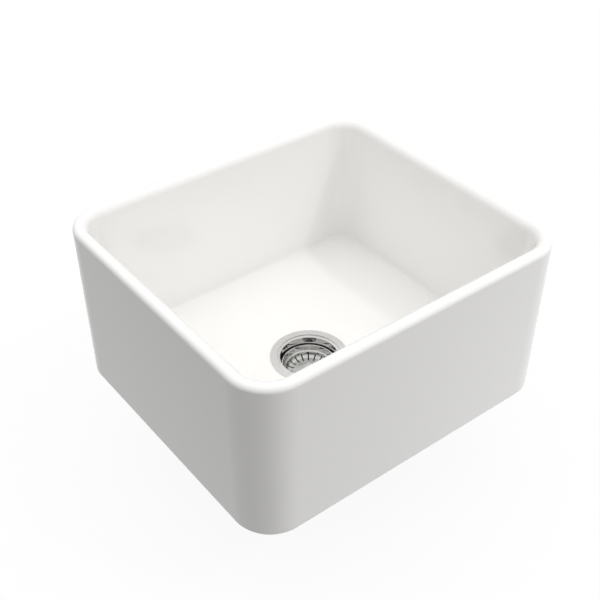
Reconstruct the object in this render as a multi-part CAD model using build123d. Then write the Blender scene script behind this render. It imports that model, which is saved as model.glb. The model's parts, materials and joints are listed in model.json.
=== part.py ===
from build123d import *
import os
from math import atan, degrees

# A single-bowl apron front sink in glazed fireclay with its 3-1/2 inch basket strainer.
# Millimetres. X runs along the apron, +Y points to the wall behind the sink, +Z points up.
# The origin is on the drain's axis, in the plane of the basin's underside.

os.makedirs("parts", exist_ok=True)

INCH = 25.4

# Basin, all horizontal sizes at the rim
BASIN_LENGTH = 508.0
BASIN_DEPTH = 457.2
BASIN_HEIGHT = 246.0
WALL_THICKNESS = 20.5
OUTER_CORNER_RADIUS = 57.0
OUTER_DRAW_IN = 2.5
BOWL_SIDE_DRAW_IN = 2.0
BOWL_FRONT_DRAW_IN = 6.0
RIM_OUTER_ROUND = 7.5
RIM_INNER_ROUND = 11.5
FOOT_ROUND = 1.0
FLOOR_EDGE_HEIGHT = 32.5
FLOOR_DRAIN_HEIGHT = 21.0
BOWL_FLOOR_ROUND = 7.0
DRAIN_OPENING_MARGIN = 0.8
DRAIN_SEAT_MARGIN = 3.0

# Strainer cup, a drawn sheet
CUP_SHEET = 1.0
FLANGE_RADIUS = 2.25 * INCH
FLANGE_WIDTH = 14.65
FLANGE_LIP_WIDTH = 1.0
FLANGE_EDGE_ROUND = 0.8
FLANGE_STEP_WIDTH = 10.95
FLANGE_STEP_DROP = 1.7
FLANGE_STEP_SLANT = 0.5
FLANGE_STEP_ROUND = 0.2
CUP_MOUTH_ROUND = 1.2
LEDGE_WIDTH = 3.3
CUP_CORNER_ROUND = 5.0
LEDGE_DROP = 17.8
CUP_DROP = 52.6
THREAD_HEIGHT = 1.0
THREAD_PITCH = 2.0
THREAD_CREST_WIDTH = 0.4
CUP_THREAD_TURNS = 11

# Rings and nut that clamp the cup to the basin
FLANGE_SEAL_THICKNESS = 0.9
GASKET_SEAT_DEPTH = 1.0
GASKET_SEAT_MARGIN = 4.0
GASKET_THICKNESS = 5.0
GASKET_WIDTH = 14.7
GASKET_ROUND = 0.8
FRICTION_RING_THICKNESS = 1.0
LOCKNUT_FLANGE_THICKNESS = 2.5
LOCKNUT_HEIGHT = 14.0
LOCKNUT_WALL = 4.0
LOCKNUT_LUGS = 6
LOCKNUT_LUG_WIDTH = 9.0
LOCKNUT_FLANGE_ROUND = 0.6
LOCKNUT_WALL_ROUND = 0.8

# Outlet neck, cast with the cross that holds the basket's post
NECK_BORE_RADIUS = 19.0
NECK_WALL = 3.4
NECK_COLLAR_WIDTH = 4.0
NECK_COLLAR_THICKNESS = 1.5
NECK_LENGTH = 25.0
NECK_THREAD_TURNS = 7
NECK_COLLAR_ROUND = 0.9
CROSS_DROP = 4.0
CROSS_HEIGHT = 5.0
CROSS_SPOKE_WIDTH = 3.0
SOCKET_RADIUS = 6.0
SOCKET_WALL = 3.0
SOCKET_HEIGHT = 9.0

# Tailpiece and its coupling
TAILPIECE_RADIUS = 0.75 * INCH
TAILPIECE_WALL = 0.9
TAILPIECE_LENGTH = 4.0 * INCH
TAILPIECE_FLANGE_THICKNESS = 1.2
TAILPIECE_SWAGE_SWELL = 0.25
TAILPIECE_SWAGE_LENGTH = 5.0
TAILPIECE_WASHER_THICKNESS = 1.6
COUPLING_WALL = 3.6
COUPLING_HEIGHT = 17.0
COUPLING_LIP_THICKNESS = 2.0

# Basket
BASKET_SHEET = 1.0
BASKET_RIM_DROP = 14.6
BASKET_LIP_MARGIN = 1.9
BASKET_LIP_WIDTH = 1.7
BASKET_LIP_ROUND = 0.4
BASKET_CONE_WIDTH = 3.0
BASKET_CONE_DROP = 7.0
BASKET_CONE_ROUND = 1.2
BASKET_SHOULDER_WIDTH = 1.9
BASKET_SHOULDER_DROP = 1.7
BASKET_SHOULDER_ROUND = 1.4
BASKET_WALL_DRAW_IN = 0.3
BASKET_DEPTH = 16.4
BASKET_CORNER_ROUND = 6.0
SLOT_COUNT = 20
SLOT_WIDTH = 2.0
SLOT_REACH = 10.7
SLOT_RISE = 5.3
SEAL_RIM_HEIGHT = 0.65
SEAL_FOOT_ROUND = 0.5
SEAL_RIM_ROUND = 0.4

# Knob, post and the collar that snaps into the cross
KNOB_HEIGHT = 11.4
KNOB_RADIUS = 9.8
KNOB_FOOT_RADIUS = 6.4
KNOB_FOOT_HEIGHT = 1.2
KNOB_FOOT_ROUND = 0.5
KNOB_WAIST_RADIUS = 4.9
KNOB_WAIST_ROUND = 1.0
KNOB_HEAD_THICKNESS = 4.6
KNOB_HEAD_ROUND = 1.0
KNOB_DOME_HEIGHT = 1.6
KNOB_DOME_RADIUS = 5.4
KNOB_DOME_ROUND = 3.0
KNOB_THREAD_DEPTH = 8.0
POST_RADIUS = 4.0
POST_TOP_ROUND = 0.5
POST_WASHER_RADIUS = 12.0
POST_WASHER_THICKNESS = 1.2
POST_NUT_ACROSS_FLATS = 13.0
POST_NUT_THICKNESS = 5.0
COLLAR_WALL = 2.7
COLLAR_RISE = 2.0
COLLAR_SLITS = 2
COLLAR_SLIT_WIDTH = 1.2
COLLAR_SLIT_MARGIN = 3.0
COLLAR_ROUND = 0.4
SCREW_SHANK_RADIUS = 1.9
SCREW_SHANK_LENGTH = 7.0
SCREW_HEAD_THICKNESS = 2.0
SCREW_HEAD_ROUND = 0.9
SCREW_SLOT_WIDTH = 1.0
SCREW_SLOT_DEPTH = 0.9

# Clearances
FIT_CLEARANCE = 0.05
THREAD_CLEARANCE = 0.1
RUNNING_CLEARANCE = 0.3
SEAT_CLEARANCE = 0.2

# Heights that follow from the sizes above
RIM_TOP = BASIN_HEIGHT
FLANGE_TOP = FLOOR_DRAIN_HEIGHT + FLANGE_SEAL_THICKNESS + CUP_SHEET
LEDGE_TOP = FLANGE_TOP - LEDGE_DROP
CUP_FLOOR = FLANGE_TOP - CUP_DROP
GASKET_TOP = GASKET_SEAT_DEPTH
FRICTION_RING_TOP = GASKET_TOP - GASKET_THICKNESS
LOCKNUT_TOP = FRICTION_RING_TOP - FRICTION_RING_THICKNESS
LOCKNUT_FOOT = LOCKNUT_TOP - LOCKNUT_HEIGHT
BASKET_RIM = FLANGE_TOP - BASKET_RIM_DROP
BASKET_FLOOR = BASKET_RIM - BASKET_DEPTH
BASKET_UNDERSIDE = BASKET_FLOOR - BASKET_SHEET
NECK_END = CUP_FLOOR - CUP_SHEET - NECK_LENGTH
TAILPIECE_TOP = NECK_END - TAILPIECE_WASHER_THICKNESS
SOCKET_TOP = CUP_FLOOR - CROSS_DROP
SOCKET_FOOT = SOCKET_TOP - SOCKET_HEIGHT
COLLAR_TOP = SOCKET_TOP + COLLAR_RISE
COLLAR_FOOT = SOCKET_FOOT - COLLAR_RISE

# Radii that follow from the sizes above
FLANGE_STEP_RADIUS = FLANGE_RADIUS - FLANGE_STEP_WIDTH
FLANGE_STEP_RISER = FLANGE_STEP_RADIUS + CUP_SHEET
CUP_MOUTH_RADIUS = FLANGE_RADIUS - FLANGE_WIDTH
CUP_THROAT_RADIUS = CUP_MOUTH_RADIUS - LEDGE_WIDTH
CUP_THREAD_RADIUS = CUP_THROAT_RADIUS + CUP_SHEET + THREAD_HEIGHT
DRAIN_OPENING_RADIUS = FLANGE_STEP_RISER + DRAIN_OPENING_MARGIN
GASKET_BORE = CUP_THREAD_RADIUS + THREAD_CLEARANCE
GASKET_RADIUS = GASKET_BORE + GASKET_WIDTH
BASKET_LIP_RADIUS = CUP_MOUTH_RADIUS - BASKET_LIP_MARGIN
BASKET_CONE_RADIUS = BASKET_LIP_RADIUS - BASKET_LIP_WIDTH - BASKET_CONE_WIDTH
BASKET_SHOULDER_RADIUS = BASKET_CONE_RADIUS - BASKET_SHOULDER_WIDTH
BASKET_WALL_RADIUS = BASKET_SHOULDER_RADIUS - BASKET_WALL_DRAW_IN
SLOT_INNER_RADIUS = BASKET_WALL_RADIUS - SLOT_REACH
NECK_RADIUS = NECK_BORE_RADIUS + NECK_WALL
NECK_THREAD_RADIUS = NECK_RADIUS + THREAD_HEIGHT
SWAGE_RADIUS = TAILPIECE_RADIUS + TAILPIECE_SWAGE_SWELL
COLLAR_RADIUS = SOCKET_RADIUS - FIT_CLEARANCE
COLLAR_BORE = COLLAR_RADIUS - COLLAR_WALL
PIN_RADIUS = COLLAR_BORE - FIT_CLEARANCE


def turned(*corners):
    """Solid of revolution about Z. A corner is (radius, height) or (radius, height, round)."""
    points = [(corner[0], 0, corner[1]) for corner in corners]
    rounds = [corner[2] if len(corner) > 2 else 0 for corner in corners]
    return revolve(make_face(FilletPolyline(*points, radius=rounds, close=True)), Axis.Z)


def ring(inner, outer, low, high, rounding=0):
    """Plain ring about Z, with one rounding on its four edges."""
    corners = [(inner, low), (outer, low), (outer, high), (inner, high)]
    return turned(*[corner + (rounding,) for corner in corners])


def thread_corners(root, crest, top, turns):
    """Corners of a thread's profile, going down from top."""
    corners = []
    flank = (THREAD_PITCH - THREAD_CREST_WIDTH) / 2
    for turn in range(turns):
        start = top - turn * THREAD_PITCH
        corners += [(crest, start - flank), (crest, start - flank - THREAD_CREST_WIDTH)]
        corners += [(root, start - THREAD_PITCH)]
    return corners


def draft_angle(draw_in, height):
    """Angle of a wall that leans in by draw_in over height."""
    return degrees(atan(draw_in / height))


def drafted_block(length, depth, corner, height, draw_in):
    """Rounded block hanging from the rim plane, narrower at its foot."""
    rim = Plane.XY.offset(RIM_TOP) * RectangleRounded(length, depth, corner)
    return extrude(rim, height, dir=(0, 0, -1), taper=draft_angle(draw_in, height))


def bowl_space():
    """Room inside the bowl: drafted walls, rounded foot and a floor that falls to the drain."""
    length = BASIN_LENGTH - 2 * WALL_THICKNESS
    depth = BASIN_DEPTH - 2 * WALL_THICKNESS
    corner = OUTER_CORNER_RADIUS - WALL_THICKNESS
    foot_length = length - 2 * BOWL_SIDE_DRAW_IN
    foot_depth = depth - 2 * BOWL_FRONT_DRAW_IN
    foot_corner = corner - (BOWL_SIDE_DRAW_IN + BOWL_FRONT_DRAW_IN) / 2
    walls = loft([Plane.XY.offset(FLOOR_EDGE_HEIGHT) * RectangleRounded(foot_length, foot_depth, foot_corner),
                  Plane.XY.offset(RIM_TOP) * RectangleRounded(length, depth, corner)])
    walls = fillet(walls.faces().sort_by(Axis.Z)[0].edges(), BOWL_FLOOR_ROUND)
    inset = BOWL_FLOOR_ROUND
    edge = RectangleRounded(foot_length - 2 * inset, foot_depth - 2 * inset, foot_corner - inset)
    seat = Circle(FLANGE_RADIUS + DRAIN_SEAT_MARGIN)
    return walls + loft([Plane.XY.offset(FLOOR_EDGE_HEIGHT) * edge,
                         Plane.XY.offset(FLOOR_DRAIN_HEIGHT) * seat])


def basin():
    """Fireclay bowl with the apron as its front wall, and a ground seat for the gasket underneath."""
    body = drafted_block(BASIN_LENGTH, BASIN_DEPTH, OUTER_CORNER_RADIUS, BASIN_HEIGHT, OUTER_DRAW_IN)
    body = fillet(body.faces().sort_by(Axis.Z)[0].edges(), FOOT_ROUND)
    body -= bowl_space()
    body -= Pos(0, 0, FLOOR_DRAIN_HEIGHT / 2) * Cylinder(DRAIN_OPENING_RADIUS, 2 * FLOOR_DRAIN_HEIGHT)
    body -= Cylinder(GASKET_RADIUS + GASKET_SEAT_MARGIN, 2 * GASKET_SEAT_DEPTH)
    body = fillet(body.faces().sort_by(Axis.Z)[-1].inner_wires()[0].edges(), RIM_INNER_ROUND)
    return fillet(body.faces().sort_by(Axis.Z)[-1].outer_wire().edges(), RIM_OUTER_ROUND)


def flange_seal():
    """Thin soft ring between the flange and the glaze."""
    outer = FLANGE_RADIUS - FLANGE_LIP_WIDTH - FIT_CLEARANCE
    return ring(DRAIN_OPENING_RADIUS, outer, FLOOR_DRAIN_HEIGHT, FLOOR_DRAIN_HEIGHT + FLANGE_SEAL_THICKNESS)


def strainer_cup():
    """Drawn cup: wide flange, ledge for the basket, threaded throat and a floor with the outlet."""
    mouth = CUP_MOUTH_RADIUS
    throat = CUP_THROAT_RADIUS
    sheet = CUP_SHEET
    under = FLANGE_TOP - sheet
    step = FLANGE_STEP_RADIUS
    drop = FLANGE_STEP_DROP
    hole = NECK_RADIUS + FIT_CLEARANCE
    thread_top = GASKET_TOP - GASKET_THICKNESS / 2
    thread_foot = thread_top - CUP_THREAD_TURNS * THREAD_PITCH
    corner = CUP_CORNER_ROUND
    inside = [
        (FLANGE_RADIUS, FLOOR_DRAIN_HEIGHT + FIT_CLEARANCE),
        (FLANGE_RADIUS, FLANGE_TOP, FLANGE_EDGE_ROUND),
        (step + FLANGE_STEP_SLANT, FLANGE_TOP, FLANGE_STEP_ROUND),
        (step, FLANGE_TOP - drop, FLANGE_STEP_ROUND),
        (mouth, FLANGE_TOP - drop, CUP_MOUTH_ROUND),
        (mouth, LEDGE_TOP, 0.5 * sheet),
        (throat, LEDGE_TOP, sheet),
        (throat, CUP_FLOOR, corner),
        (hole, CUP_FLOOR),
    ]
    outside = [
        (hole, CUP_FLOOR - sheet),
        (throat + sheet, CUP_FLOOR - sheet, corner + sheet),
        (throat + sheet, thread_foot),
    ]
    outside += thread_corners(throat + sheet, CUP_THREAD_RADIUS, thread_top, CUP_THREAD_TURNS)[-2::-1]
    outside += [
        (throat + sheet, thread_top),
        (throat + sheet, LEDGE_TOP - sheet, 0.4 * sheet),
        (mouth + sheet, LEDGE_TOP - sheet, 1.5 * sheet),
        (mouth + sheet, under - drop),
        (FLANGE_STEP_RISER, under - drop),
        (FLANGE_STEP_RISER, under),
        (FLANGE_RADIUS - FLANGE_LIP_WIDTH, under),
        (FLANGE_RADIUS - FLANGE_LIP_WIDTH, FLOOR_DRAIN_HEIGHT + FIT_CLEARANCE),
    ]
    return turned(*inside, *outside)


def under_gasket():
    """Thick rubber ring under the basin."""
    return ring(GASKET_BORE, GASKET_RADIUS, FRICTION_RING_TOP, GASKET_TOP, GASKET_ROUND)


def friction_ring():
    """Fibre ring that lets the locknut turn on the rubber."""
    return ring(GASKET_BORE, GASKET_RADIUS, LOCKNUT_TOP, FRICTION_RING_TOP)


def locknut():
    """Flanged ring nut with lugs for a strainer wrench."""
    flange_foot = LOCKNUT_TOP - LOCKNUT_FLANGE_THICKNESS
    bore = GASKET_BORE
    wall = bore + LOCKNUT_WALL
    nut = turned(
        (bore, LOCKNUT_FOOT), (wall, LOCKNUT_FOOT, LOCKNUT_WALL_ROUND),
        (wall, flange_foot, LOCKNUT_WALL_ROUND), (GASKET_RADIUS, flange_foot, LOCKNUT_FLANGE_ROUND),
        (GASKET_RADIUS, LOCKNUT_TOP, LOCKNUT_FLANGE_ROUND), (bore, LOCKNUT_TOP))
    lug_length = GASKET_RADIUS - bore - LOCKNUT_WALL / 2
    lug = Pos(bore + LOCKNUT_WALL / 2 + lug_length / 2, 0, (LOCKNUT_FOOT + flange_foot) / 2)
    lug = lug * Box(lug_length, LOCKNUT_LUG_WIDTH, flange_foot - LOCKNUT_FOOT)
    lug = fillet(lug.edges().filter_by(Axis.Z).sort_by(Axis.X)[-2:], LOCKNUT_LUG_WIDTH / 4)
    for number in range(LOCKNUT_LUGS):
        nut += Rot(0, 0, number * 360 / LOCKNUT_LUGS) * lug
    return nut


def outlet_neck():
    """Threaded outlet with a collar inside the cup, a shoulder below it and a four-armed cross."""
    collar = NECK_RADIUS + NECK_COLLAR_WIDTH
    shoulder_top = CUP_FLOOR - CUP_SHEET
    shoulder_foot = shoulder_top - NECK_COLLAR_THICKNESS
    thread_top = NECK_END + NECK_THREAD_TURNS * THREAD_PITCH
    profile = [
        (NECK_BORE_RADIUS, NECK_END),
        (NECK_RADIUS, NECK_END),
    ]
    profile += thread_corners(NECK_RADIUS, NECK_THREAD_RADIUS, thread_top, NECK_THREAD_TURNS)[-2::-1]
    profile += [
        (NECK_RADIUS, thread_top),
        (NECK_RADIUS, shoulder_foot),
        (collar, shoulder_foot),
        (collar, shoulder_top),
        (NECK_RADIUS, shoulder_top),
        (NECK_RADIUS, CUP_FLOOR),
        (collar, CUP_FLOOR),
        (collar, CUP_FLOOR + NECK_COLLAR_THICKNESS, NECK_COLLAR_ROUND),
        (NECK_BORE_RADIUS, CUP_FLOOR + NECK_COLLAR_THICKNESS, NECK_COLLAR_ROUND),
    ]
    neck = turned(*profile)
    socket = SOCKET_RADIUS + SOCKET_WALL
    reach = NECK_BORE_RADIUS + NECK_WALL / 2 - SOCKET_RADIUS - SOCKET_WALL / 2
    spoke = Pos(SOCKET_RADIUS + SOCKET_WALL / 2 + reach / 2, 0, SOCKET_TOP - SOCKET_HEIGHT / 2)
    spoke = spoke * Box(reach, CROSS_SPOKE_WIDTH, CROSS_HEIGHT)
    for number in range(4):
        neck += Rot(0, 0, 90 * number) * spoke
    return neck + ring(SOCKET_RADIUS, socket, SOCKET_FOOT, SOCKET_TOP)


def tailpiece_washer():
    """Flat washer between the neck's end and the tailpiece's flange."""
    return ring(NECK_BORE_RADIUS, NECK_RADIUS, TAILPIECE_TOP, NECK_END)


def tailpiece():
    """Waste tube with a flange and, below it, a slightly swelled stretch that the nut runs on."""
    bore = TAILPIECE_RADIUS - TAILPIECE_WALL
    flange_foot = TAILPIECE_TOP - TAILPIECE_FLANGE_THICKNESS
    swage_foot = flange_foot - TAILPIECE_SWAGE_LENGTH
    foot = TAILPIECE_TOP - TAILPIECE_LENGTH
    return turned(
        (bore, foot), (TAILPIECE_RADIUS, foot), (TAILPIECE_RADIUS, swage_foot),
        (SWAGE_RADIUS, swage_foot), (SWAGE_RADIUS, flange_foot), (NECK_RADIUS, flange_foot),
        (NECK_RADIUS, TAILPIECE_TOP), (bore, TAILPIECE_TOP))


def coupling_nut():
    """Hexagon nut with an inward lip that pulls the tailpiece up to the neck."""
    bore = NECK_THREAD_RADIUS + THREAD_CLEARANCE
    lip_top = TAILPIECE_TOP - TAILPIECE_FLANGE_THICKNESS
    foot = lip_top - COUPLING_LIP_THICKNESS
    top = foot + COUPLING_HEIGHT
    flats = bore + COUPLING_WALL
    hexagon = Pos(0, 0, foot) * extrude(RegularPolygon(flats, 6, major_radius=False), COUPLING_HEIGHT)
    corner = flats + COUPLING_WALL / 2
    chamfer_drop = COUPLING_WALL / 2
    blank = turned((0, foot), (flats, foot), (corner, foot + chamfer_drop),
                   (corner, top - chamfer_drop), (flats, top), (0, top))
    lip_bore = SWAGE_RADIUS + RUNNING_CLEARANCE
    core = turned((0, foot), (lip_bore, foot), (lip_bore, lip_top), (bore, lip_top), (bore, top), (0, top))
    return (hexagon & blank) - core


def basket_cone_outside(height):
    """Radius of the cone's outer skin at a height."""
    slope = (BASKET_LIP_RADIUS - BASKET_LIP_WIDTH - BASKET_CONE_RADIUS) / BASKET_CONE_DROP
    skin = BASKET_SHEET * (1 + slope**2) ** 0.5
    return BASKET_CONE_RADIUS + slope * (height - BASKET_RIM + BASKET_CONE_DROP) + skin


def basket_skin(before, corner, after):
    """Corner of the basket's outer skin beside a corner of its inner profile, which runs upwards."""
    low_run = (Vector(*corner) - Vector(*before)).normalized()
    high_run = (Vector(*after) - Vector(*corner)).normalized()
    low_normal = Vector(low_run.Y, -low_run.X)
    high_normal = Vector(high_run.Y, -high_run.X)
    shift = (low_normal + high_normal) * (BASKET_SHEET / (1 + low_normal.dot(high_normal)))
    return corner[0] + shift.X, corner[1] + shift.Y


def basket_bowl():
    """Drawn basket: a narrow lip, a steep cone, a shoulder, a short wall and slots round the foot."""
    sheet = BASKET_SHEET
    lip = BASKET_LIP_RADIUS
    floor = BASKET_FLOOR
    rounds = [BASKET_CORNER_ROUND, BASKET_SHOULDER_ROUND, BASKET_CONE_ROUND]
    shoulder_skin_round = max(BASKET_SHOULDER_ROUND - sheet, 0)
    skin_rounds = [BASKET_CORNER_ROUND + sheet, shoulder_skin_round, BASKET_CONE_ROUND + sheet]
    cone_foot = BASKET_RIM - BASKET_CONE_DROP
    inner = [
        (POST_RADIUS + FIT_CLEARANCE, floor),
        (BASKET_WALL_RADIUS, floor),
        (BASKET_SHOULDER_RADIUS, cone_foot - BASKET_SHOULDER_DROP),
        (BASKET_CONE_RADIUS, cone_foot),
        (lip - BASKET_LIP_WIDTH, BASKET_RIM),
    ]
    outer = [basket_skin(*corners) for corners in zip(inner, inner[1:], inner[2:])]
    bowl = turned(
        inner[0], *[(*corner, size) for corner, size in zip(inner[1:4], rounds)],
        (*inner[4], BASKET_LIP_ROUND), (lip, BASKET_RIM, BASKET_LIP_ROUND),
        (lip, BASKET_RIM - sheet, BASKET_LIP_ROUND),
        (basket_cone_outside(BASKET_RIM - sheet), BASKET_RIM - sheet),
        *[(*corner, size) for corner, size in zip(outer[::-1], skin_rounds[::-1])],
        (inner[0][0], floor - sheet))
    slot_top = floor + SLOT_RISE
    half = SLOT_WIDTH / 2
    start = SLOT_INNER_RADIUS + half
    length = lip - start
    depth = slot_top - half - floor + 2 * sheet
    slot = Pos(start + length / 2, 0, slot_top - half - depth / 2) * Box(length, SLOT_WIDTH, depth)
    slot += Pos(start, 0, slot_top - half - depth / 2) * Cylinder(half, depth)
    slot += Pos(lip - length / 4, 0, slot_top - half) * Rot(0, 90, 0) * Cylinder(half, length / 2)
    for number in range(SLOT_COUNT):
        bowl -= Rot(0, 0, number * 360 / SLOT_COUNT) * slot
    return bowl


def basket_seal():
    """Rubber ring that sits under the basket's lip and laps its edge."""
    lip_under = BASKET_RIM - BASKET_SHEET
    inner = basket_cone_outside(lip_under) + FIT_CLEARANCE
    outer = CUP_MOUTH_RADIUS - RUNNING_CLEARANCE
    lap = BASKET_LIP_RADIUS + FIT_CLEARANCE
    foot = LEDGE_TOP + SEAT_CLEARANCE
    return turned((inner, foot), (outer, foot, SEAL_FOOT_ROUND),
                  (outer, lip_under + SEAL_RIM_HEIGHT, SEAL_RIM_ROUND),
                  (lap, lip_under + SEAL_RIM_HEIGHT), (lap, lip_under), (inner, lip_under))


def lift_knob():
    """Waisted knob with a domed head, screwed on the post."""
    foot = BASKET_FLOOR
    top = foot + KNOB_HEIGHT
    head = top - KNOB_HEAD_THICKNESS
    bore = POST_RADIUS + THREAD_CLEARANCE
    roof = foot + KNOB_THREAD_DEPTH
    waist_foot = foot + KNOB_FOOT_HEIGHT + KNOB_FOOT_RADIUS - KNOB_WAIST_RADIUS
    return turned(
        (0, roof), (bore, roof), (bore, foot), (KNOB_FOOT_RADIUS, foot, KNOB_FOOT_ROUND),
        (KNOB_FOOT_RADIUS, foot + KNOB_FOOT_HEIGHT, KNOB_FOOT_ROUND),
        (KNOB_WAIST_RADIUS, waist_foot, KNOB_WAIST_ROUND), (KNOB_WAIST_RADIUS, head, KNOB_WAIST_ROUND),
        (KNOB_RADIUS, head + KNOB_DOME_HEIGHT, KNOB_HEAD_ROUND),
        (KNOB_RADIUS, top - KNOB_DOME_HEIGHT, KNOB_HEAD_ROUND),
        (KNOB_DOME_RADIUS, top, KNOB_DOME_ROUND), (0, top))


def post_washer():
    """Washer under the basket's floor."""
    return ring(POST_RADIUS + FIT_CLEARANCE, POST_WASHER_RADIUS,
                BASKET_UNDERSIDE - POST_WASHER_THICKNESS, BASKET_UNDERSIDE)


def post_nut():
    """Hexagon nut that clamps the basket's floor."""
    foot = BASKET_UNDERSIDE - POST_WASHER_THICKNESS - POST_NUT_THICKNESS
    hexagon = extrude(RegularPolygon(POST_NUT_ACROSS_FLATS / 2, 6, major_radius=False), POST_NUT_THICKNESS)
    return Pos(0, 0, foot) * (hexagon - Cylinder(POST_RADIUS + THREAD_CLEARANCE, 4 * POST_NUT_THICKNESS))


def basket_post():
    """Turned post: screwed into the knob above, with a reduced pin for the collar at its foot."""
    top = BASKET_FLOOR + KNOB_THREAD_DEPTH - SEAT_CLEARANCE
    pin_foot = COLLAR_FOOT - SEAT_CLEARANCE
    bore = SCREW_SHANK_RADIUS + THREAD_CLEARANCE
    bore_top = pin_foot + SCREW_SHANK_LENGTH + SEAT_CLEARANCE
    return turned((0, top), (POST_RADIUS, top, POST_TOP_ROUND), (POST_RADIUS, COLLAR_TOP + SEAT_CLEARANCE),
                  (PIN_RADIUS, COLLAR_TOP + SEAT_CLEARANCE), (PIN_RADIUS, pin_foot), (bore, pin_foot),
                  (bore, bore_top), (0, bore_top))


def snap_collar():
    """Split collar that the cross's socket grips."""
    collar = ring(COLLAR_BORE, COLLAR_RADIUS, COLLAR_FOOT, COLLAR_TOP, COLLAR_ROUND)
    slit_length = COLLAR_TOP - COLLAR_FOOT - COLLAR_SLIT_MARGIN
    slit = Pos(0, 0, COLLAR_FOOT + slit_length / 2)
    slit = slit * Box(4 * COLLAR_RADIUS, COLLAR_SLIT_WIDTH, slit_length)
    for number in range(COLLAR_SLITS):
        collar -= Rot(0, 0, number * 180 / COLLAR_SLITS) * slit
    return collar


def collar_screw():
    """Pan-head screw that keeps the collar on the post."""
    seat = COLLAR_FOOT - SEAT_CLEARANCE
    head = COLLAR_RADIUS - RUNNING_CLEARANCE
    foot = seat - SCREW_HEAD_THICKNESS
    shank_top = seat + SCREW_SHANK_LENGTH
    screw = turned((0, foot), (head, foot, SCREW_HEAD_ROUND), (head, seat), (SCREW_SHANK_RADIUS, seat),
                   (SCREW_SHANK_RADIUS, shank_top), (0, shank_top))
    slot = Pos(0, 0, foot) * Box(4 * head, SCREW_SLOT_WIDTH, 2 * SCREW_SLOT_DEPTH)
    return screw - slot


PIECES = [
    basin, flange_seal, strainer_cup, under_gasket, friction_ring, locknut, outlet_neck,
    tailpiece_washer, tailpiece, coupling_nut, basket_bowl, basket_seal, lift_knob, post_washer,
    post_nut, basket_post, snap_collar, collar_screw,
]

for piece in PIECES:
    export_step(piece(), f"parts/{piece.__name__}.step")
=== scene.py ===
import bpy
import json
import math
from mathutils import Matrix, Vector


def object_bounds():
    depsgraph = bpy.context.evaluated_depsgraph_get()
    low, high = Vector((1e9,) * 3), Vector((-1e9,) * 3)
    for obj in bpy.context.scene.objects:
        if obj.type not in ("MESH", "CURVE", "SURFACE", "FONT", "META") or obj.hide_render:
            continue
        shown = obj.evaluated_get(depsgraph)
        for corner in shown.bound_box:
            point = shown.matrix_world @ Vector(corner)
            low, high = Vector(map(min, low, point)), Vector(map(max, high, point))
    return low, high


# An apron front sink in glazed fireclay with its basket strainer, on a plain pale floor.
# Metres, in the model's own frame: the apron faces -Y, +Z is up.

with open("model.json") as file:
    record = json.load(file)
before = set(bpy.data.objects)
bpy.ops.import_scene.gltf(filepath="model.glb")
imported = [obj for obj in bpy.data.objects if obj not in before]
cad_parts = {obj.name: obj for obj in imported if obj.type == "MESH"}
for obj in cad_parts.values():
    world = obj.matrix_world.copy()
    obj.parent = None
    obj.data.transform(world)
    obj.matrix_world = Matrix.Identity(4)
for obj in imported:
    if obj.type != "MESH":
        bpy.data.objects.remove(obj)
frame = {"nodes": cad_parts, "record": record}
model_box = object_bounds()

# Camera at the photograph's place
CAMERA_AZIMUTH = math.radians(-37.753)
CAMERA_ELEVATION = math.radians(38.011)
CAMERA_PLACE = Vector((-0.694966, -0.875322, 0.998116))
FOCAL_PIXELS = 1014.356
IMAGE_PIXELS = 600
SENSOR_WIDTH = 36.0

# Light: a sky that is brightest overhead, a soft sun and a low panel
SKY_OVERHEAD = 1.33
SKY_FRONT = 0.34
SKY_BACK = 0.20
SUN_AZIMUTH = math.radians(31.0)
SUN_ELEVATION = math.radians(50.8)
SUN_DISC = math.radians(4.5)
SUN_STRENGTH = 0.36
PANEL_AZIMUTH = math.radians(40.0)
PANEL_POWER = 5.2
PANEL_DISTANCE = 1.6
PANEL_HEIGHT = 0.05
PANEL_SIZE = (0.6, 0.4)

# Floor: its greys as the camera sees it, and as it lights the object
FLOOR_SIZE = 12.0
FLOOR_SHADOW_SHARE = 0.09
FLOOR_GRAIN_SCALE = 3.0
FLOOR_SEEN = (0.93, 0.95)
FLOOR_BOUNCE = (0.028, 0.032)

# Glaze, and the bare body at the basin's foot
GLAZE_DARK = (0.940, 0.933, 0.917)
GLAZE_LIGHT = (0.958, 0.951, 0.936)
GLAZE_CLOUD_SCALE = 6.0
GLAZE_WAVE_SCALE = 9.0
GLAZE_WAVE_DEPTH = 0.00015
GLAZE_PEEL_SCALE = 320.0
GLAZE_PEEL_DEPTH = 0.000003
GLAZE_ROUGHNESS = 0.05
GLAZE_IOR = 1.5
BISQUE_DARK = (0.52, 0.46, 0.37)
BISQUE_LIGHT = (0.68, 0.62, 0.52)
BISQUE_GRAIN_SCALE = 900.0
BISQUE_GRAIN_DEPTH = 0.0002
BISQUE_ROUGHNESS = 0.85
BISQUE_EDGE_SCALE = 60.0
BISQUE_EDGE_HEIGHT = 0.0016

# Metals: the lines that turning leaves, the smudges of wear and the grain of a casting
LINE_SCALE = 2600.0
SMUDGE_SCALE = 70.0
STEEL_SMUDGE = 0.94
CAST_GRAIN_SCALE = 1400.0
CAST_PATCH_SCALE = 90.0

# A roughness wanders between these shares of its middle value
STEEL_WANDER = (0.8, 1.2)
CAST_WANDER = (0.8, 1.25)
MOULDING_WANDER = (0.85, 1.15)

# The cup is satin outside this radius, where it is rougher and lined, and polished inside it
FLANGE_POLISH_RADIUS = 0.0468
FLANGE_EXTRA_ROUGHNESS = (0.16, 0.26)
FLANGE_LINE_DEPTH = 0.00001
CUP_COLOUR = (0.76, 0.755, 0.75)
CUP_SMUDGE = 0.96
CUP_ROUGHNESS = 0.04


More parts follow.
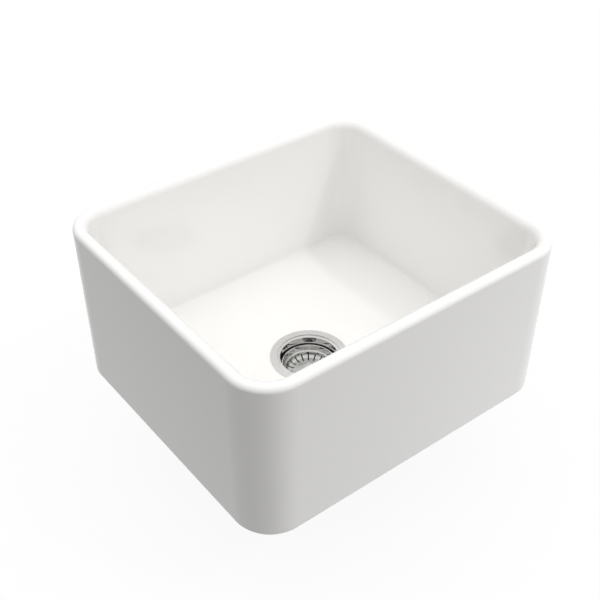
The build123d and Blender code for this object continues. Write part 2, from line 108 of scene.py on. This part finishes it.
def new_material(name):
    """A new material and its empty shader tree."""
    material = bpy.data.materials.new(name)
    material.use_nodes = True
    tree = material.node_tree
    tree.nodes.clear()
    return material, tree


def add(tree, kind, inputs=None, **settings):
    """Adds a node, sets its properties, and fills or links its inputs."""
    node = tree.nodes.new(kind)
    for key, value in settings.items():
        setattr(node, key, value)
    for key, value in (inputs or {}).items():
        if isinstance(value, bpy.types.NodeSocket):
            tree.links.new(value, node.inputs[key])
        else:
            node.inputs[key].default_value = value
    return node


def surface(tree, shader):
    """Makes a shader node the material's surface."""
    add(tree, "ShaderNodeOutputMaterial", {"Surface": shader.outputs[0]})


def place(tree):
    """The point on the surface, in the model's frame."""
    return add(tree, "ShaderNodeTexCoord").outputs["Object"]


def axes(tree, vector):
    """The X, Y and Z parts of a vector."""
    return add(tree, "ShaderNodeSeparateXYZ", {"Vector": vector}).outputs


def maths(tree, operation, first, second):
    """The result of one operation on two values."""
    return add(tree, "ShaderNodeMath", {0: first, 1: second}, operation=operation).outputs[0]


def noise(tree, vector, scale, detail=2.0, roughness=0.5):
    """Soft noise from 0 to 1."""
    inputs = {"Vector": vector, "Scale": scale, "Detail": detail, "Roughness": roughness}
    return add(tree, "ShaderNodeTexNoise", inputs).outputs["Fac"]


def spread(tree, value, low, high):
    """Maps 0..1 to low..high."""
    node = add(tree, "ShaderNodeMapRange", {"Value": value, "To Min": low, "To Max": high})
    return node.outputs["Result"]


def wander(tree, value, middle, shares):
    """Maps 0..1 to a low and a high share of a middle value."""
    low, high = shares
    return spread(tree, value, low * middle, high * middle)


def bump(tree, height, depth, normal=None):
    """Relief of a given depth, on top of another relief if there is one."""
    inputs = {"Height": height, "Distance": depth}
    if normal is not None:
        inputs["Normal"] = normal
    return add(tree, "ShaderNodeBump", inputs).outputs["Normal"]


def blend(tree, value, first, second):
    """Colour between two colours by value. It is the third of the mix node's results."""
    inputs = {"Factor": value, "A": first, "B": second}
    return add(tree, "ShaderNodeMix", inputs, data_type="RGBA").outputs[2]


def tint(tree, value, dark, light):
    """Colour between a dark and a light one by value."""
    return blend(tree, value, (*dark, 1), (*light, 1))


def grey_tint(tree, value, greys):
    """Grey between two greys by value."""
    dark, light = greys
    return tint(tree, value, (dark, dark, dark), (light, light, light))


def darker(colour, share):
    """A colour with each part reduced to a share."""
    return tuple(share * part for part in colour)


def glaze():
    """White gloss glaze over the body, and bare bisque on the foot, where the basin stood in the kiln."""
    material, tree = new_material("fireclay")
    point = place(tree)
    wave = bump(tree, noise(tree, point, GLAZE_WAVE_SCALE), GLAZE_WAVE_DEPTH)
    skin = bump(tree, noise(tree, point, GLAZE_PEEL_SCALE, detail=1.0), GLAZE_PEEL_DEPTH, wave)
    cloud = noise(tree, point, GLAZE_CLOUD_SCALE, detail=4.0)
    glossy = add(tree, "ShaderNodeBsdfPrincipled", {
        "Base Color": tint(tree, cloud, GLAZE_DARK, GLAZE_LIGHT),
        "Roughness": GLAZE_ROUGHNESS,
        "IOR": GLAZE_IOR,
        "Normal": skin,
    })
    grain = noise(tree, point, BISQUE_GRAIN_SCALE, detail=4.0, roughness=0.7)
    bare = add(tree, "ShaderNodeBsdfPrincipled", {
        "Base Color": tint(tree, grain, BISQUE_DARK, BISQUE_LIGHT),
        "Roughness": BISQUE_ROUGHNESS,
        "Normal": bump(tree, grain, BISQUE_GRAIN_DEPTH),
    })
    edge = maths(tree, "MULTIPLY", noise(tree, point, BISQUE_EDGE_SCALE, detail=3.0), BISQUE_EDGE_HEIGHT)
    below = maths(tree, "LESS_THAN", axes(tree, point)["Z"], edge)
    surface(tree, add(tree, "ShaderNodeMixShader", {0: below, 1: glossy.outputs[0], 2: bare.outputs[0]}))
    return material


def axis_distance(tree, point):
    """Distance from the drain's axis."""
    parts = axes(tree, point)
    across = add(tree, "ShaderNodeCombineXYZ", {"X": parts["X"], "Y": parts["Y"]})
    length = add(tree, "ShaderNodeVectorMath", {0: across.outputs[0]}, operation="LENGTH")
    return length.outputs["Value"]


def turned_lines(tree, point):
    """Fine rings about the drain's axis, as spinning and buffing leave them."""
    line = {"X": axis_distance(tree, point), "Y": axes(tree, point)["Z"]}
    along = add(tree, "ShaderNodeCombineXYZ", line).outputs[0]
    return noise(tree, along, LINE_SCALE, detail=3.0, roughness=0.6)


def smudged(tree, point, colour, share):
    """A metal's colour, darker by a share in its smudges."""
    smudge = noise(tree, point, SMUDGE_SCALE, detail=3.0)
    return tint(tree, smudge, darker(colour, share), colour)


def steel(name, colour, roughness, line_depth, anisotropy=0.0):
    """Stainless sheet with turned lines of a given depth."""
    material, tree = new_material(name)
    point = place(tree)
    lines = turned_lines(tree, point)
    inputs = {
        "Base Color": smudged(tree, point, colour, STEEL_SMUDGE),
        "Metallic": 1.0,
        "Roughness": wander(tree, lines, roughness, STEEL_WANDER),
        "Normal": bump(tree, lines, line_depth),
    }
    if anisotropy:
        inputs["Anisotropic"] = anisotropy
        inputs["Tangent"] = add(tree, "ShaderNodeTangent", direction_type="RADIAL", axis="Z").outputs[0]
    surface(tree, add(tree, "ShaderNodeBsdfPrincipled", inputs))
    return material


def cup_steel():
    """One pressing in two finishes: satin on the flange, polished from its step inwards."""
    material, tree = new_material("cup_steel")
    point = place(tree)
    lines = turned_lines(tree, point)
    flange = maths(tree, "GREATER_THAN", axis_distance(tree, point), FLANGE_POLISH_RADIUS)
    satin = maths(tree, "MULTIPLY", flange, spread(tree, lines, *FLANGE_EXTRA_ROUGHNESS))
    surface(tree, add(tree, "ShaderNodeBsdfPrincipled", {
        "Base Color": smudged(tree, point, CUP_COLOUR, CUP_SMUDGE),
        "Metallic": 1.0,
        "Roughness": maths(tree, "ADD", satin, CUP_ROUGHNESS),
        "Normal": bump(tree, maths(tree, "MULTIPLY", flange, lines), FLANGE_LINE_DEPTH),
    }))
    return material


def cast_metal(name, dark, light, roughness, grain_depth):
    """Cast and plated or raw metal with a fine grain."""
    material, tree = new_material(name)
    point = place(tree)
    grain = noise(tree, point, CAST_GRAIN_SCALE, detail=3.0, roughness=0.6)
    patch = noise(tree, point, CAST_PATCH_SCALE, detail=4.0)
    surface(tree, add(tree, "ShaderNodeBsdfPrincipled", {
        "Base Color": tint(tree, patch, dark, light),
        "Metallic": 1.0,
        "Roughness": wander(tree, patch, roughness, CAST_WANDER),
        "Normal": bump(tree, grain, grain_depth),
    }))
    return material


def moulding(name, dark, light, roughness, grain_scale, grain_depth, shine=0.5):
    """Rubber, nylon or fibre: a matte moulding with its own grain."""
    material, tree = new_material(name)
    grain = noise(tree, place(tree), grain_scale, detail=4.0, roughness=0.6)
    surface(tree, add(tree, "ShaderNodeBsdfPrincipled", {
        "Base Color": tint(tree, grain, dark, light),
        "Roughness": wander(tree, grain, roughness, MOULDING_WANDER),
        "Specular IOR Level": shine,
        "Normal": bump(tree, grain, grain_depth),
    }))
    return material


def metals():
    """The finishes of the metal pieces, by the record's slots."""
    return {
        "satin_steel": steel(
            "satin_steel", colour=(0.70, 0.70, 0.69), roughness=0.30, line_depth=0.00002, anisotropy=0.5),
        "polished_steel": steel(
            "polished_steel", colour=(0.63, 0.63, 0.62), roughness=0.05, line_depth=0.0000002),
        "tube_steel": steel(
            "tube_steel", colour=(0.55, 0.55, 0.54), roughness=0.22, line_depth=0.00001),
        "plated_brass": cast_metal(
            "plated_brass", dark=(0.50, 0.48, 0.43), light=(0.60, 0.58, 0.53),
            roughness=0.24, grain_depth=0.00002),
        "cast_zinc": cast_metal(
            "cast_zinc", dark=(0.42, 0.42, 0.42), light=(0.52, 0.52, 0.51),
            roughness=0.46, grain_depth=0.00006),
    }


def mouldings():
    """The finishes of the rubber, nylon and fibre pieces, by the record's slots."""
    return {
        "black_rubber": moulding(
            "black_rubber", dark=(0.005, 0.005, 0.005), light=(0.014, 0.014, 0.014),
            roughness=0.55, grain_scale=700.0, grain_depth=0.00005, shine=0.12),
        "soft_seal": moulding(
            "soft_seal", dark=(0.70, 0.68, 0.61), light=(0.80, 0.78, 0.72),
            roughness=0.6, grain_scale=500.0, grain_depth=0.00003),
        "fibre": moulding(
            "fibre", dark=(0.20, 0.12, 0.07), light=(0.36, 0.24, 0.15),
            roughness=0.8, grain_scale=260.0, grain_depth=0.00008),
        "white_plastic": moulding(
            "white_plastic", dark=(0.74, 0.74, 0.70), light=(0.82, 0.82, 0.79),
            roughness=0.4, grain_scale=300.0, grain_depth=0.00002),
    }


def dress():
    """Gives every node its finish. The cup has one of its own."""
    finishes = {"fireclay": glaze(), **metals(), **mouldings()}
    chosen = {subpart["node"]: finishes[subpart["material_slot"]] for subpart in frame["record"]["subparts"]}
    chosen["strainer_cup"] = cup_steel()
    for name, finish in chosen.items():
        materials = frame["nodes"][name].data.materials
        materials.clear()
        materials.append(finish)


def mirrored_rays(tree, rays):
    """1 for what reflections and glass see, 0 for the rest."""
    return maths(tree, "MAXIMUM", rays["Is Glossy Ray"], rays["Is Transmission Ray"])


def stage_floor():
    """Plain pale floor at the part's lowest point. It is white to the camera, apart from a faint
    shadow, white in reflections, and throws hardly any light back on the object."""
    lowest = model_box[0][2]
    bpy.ops.mesh.primitive_plane_add(size=FLOOR_SIZE, location=(0, 0, lowest))
    floor = bpy.context.object
    floor.name = "floor"
    material, tree = new_material("floor")
    rays = add(tree, "ShaderNodeLightPath").outputs
    grain = noise(tree, place(tree), FLOOR_GRAIN_SCALE)
    seen = grey_tint(tree, grain, FLOOR_SEEN)
    bounce = grey_tint(tree, grain, FLOOR_BOUNCE)
    matt = add(tree, "ShaderNodeBsdfDiffuse", {"Color": blend(tree, rays["Is Camera Ray"], bounce, seen)})
    white = add(tree, "ShaderNodeEmission", {"Color": (1, 1, 1, 1), "Strength": 1.0})
    unshaded = maths(tree, "MULTIPLY", rays["Is Camera Ray"], 1.0 - FLOOR_SHADOW_SHARE)
    share = maths(tree, "MAXIMUM", unshaded, mirrored_rays(tree, rays))
    surface(tree, add(tree, "ShaderNodeMixShader", {0: share, 1: matt.outputs[0], 2: white.outputs[0]}))
    floor.data.materials.append(material)


def away_from_origin(azimuth, elevation):
    """Unit vector to a place seen at an azimuth, counted from the front, and an elevation."""
    return Vector((math.sin(azimuth) * math.cos(elevation),
                   -math.cos(azimuth) * math.cos(elevation),
                   math.sin(elevation)))


def studio_sky():
    """Soft sky that is brightest overhead and lifts towards the front and the back. The camera,
    reflections and glass see plain white."""
    world = bpy.data.worlds.new("studio")
    bpy.context.scene.world = world
    world.use_nodes = True
    tree = world.node_tree
    tree.nodes.clear()
    towards = axes(tree, add(tree, "ShaderNodeTexCoord").outputs["Generated"])
    overhead = maths(tree, "MULTIPLY", towards["Z"], SKY_OVERHEAD)
    front = maths(tree, "MAXIMUM", maths(tree, "MULTIPLY", towards["Y"], -SKY_FRONT), 0.0)
    back = maths(tree, "MAXIMUM", maths(tree, "MULTIPLY", towards["Y"], SKY_BACK), 0.0)
    glow = maths(tree, "ADD", overhead, maths(tree, "ADD", front, back))
    above = maths(tree, "GREATER_THAN", towards["Z"], 0.0)
    strength = maths(tree, "MULTIPLY", glow, above)
    light = add(tree, "ShaderNodeBackground", {"Color": (1, 1, 1, 1), "Strength": strength})
    white = add(tree, "ShaderNodeBackground", {"Color": (1, 1, 1, 1), "Strength": 1.0})
    rays = add(tree, "ShaderNodeLightPath").outputs
    plain = maths(tree, "MAXIMUM", rays["Is Camera Ray"], mirrored_rays(tree, rays))
    mixed = add(tree, "ShaderNodeMixShader", {0: plain, 1: light.outputs[0], 2: white.outputs[0]})
    add(tree, "ShaderNodeOutputWorld", {"Surface": mixed.outputs[0]})


def add_lamp(data, at, aim):
    """Puts a lamp at a point, aimed at another, where neither the camera nor a reflection sees it."""
    lamp = bpy.data.objects.new(data.name, data)
    bpy.context.scene.collection.objects.link(lamp)
    lamp.location = at
    lamp.rotation_mode = "QUATERNION"
    lamp.rotation_quaternion = (at - aim).to_track_quat("Z", "Y")
    lamp.visible_camera = False
    lamp.visible_glossy = False


def studio_lamps():
    """A soft sun from the front right, and a low panel that lights the apron."""
    sun = bpy.data.lights.new("sun", "SUN")
    sun.energy = SUN_STRENGTH
    sun.angle = SUN_DISC
    add_lamp(sun, away_from_origin(SUN_AZIMUTH, SUN_ELEVATION), Vector())
    panel = bpy.data.lights.new("panel", "AREA")
    panel.shape = "RECTANGLE"
    panel.size, panel.size_y = PANEL_SIZE
    panel.energy = PANEL_POWER
    aim = Vector((0, 0, PANEL_HEIGHT))
    add_lamp(panel, aim + away_from_origin(PANEL_AZIMUTH, elevation=0.0) * PANEL_DISTANCE, aim)


def stage_camera():
    """Camera at the photograph's place, with its lens."""
    data = bpy.data.cameras.new("camera")
    camera = bpy.data.objects.new("camera", data)
    bpy.context.scene.collection.objects.link(camera)
    back = away_from_origin(CAMERA_AZIMUTH, CAMERA_ELEVATION)
    right = Vector((math.cos(CAMERA_AZIMUTH), math.sin(CAMERA_AZIMUTH), 0))
    turn = Matrix((right, back.cross(right), back)).transposed().to_4x4()
    camera.matrix_world = Matrix.Translation(CAMERA_PLACE) @ turn
    data.sensor_width = SENSOR_WIDTH
    data.lens = FOCAL_PIXELS * SENSOR_WIDTH / IMAGE_PIXELS
    bpy.context.scene.camera = camera


dress()
stage_floor()
studio_sky()
studio_lamps()
stage_camera()
bpy.context.scene.view_settings.view_transform = "Standard"
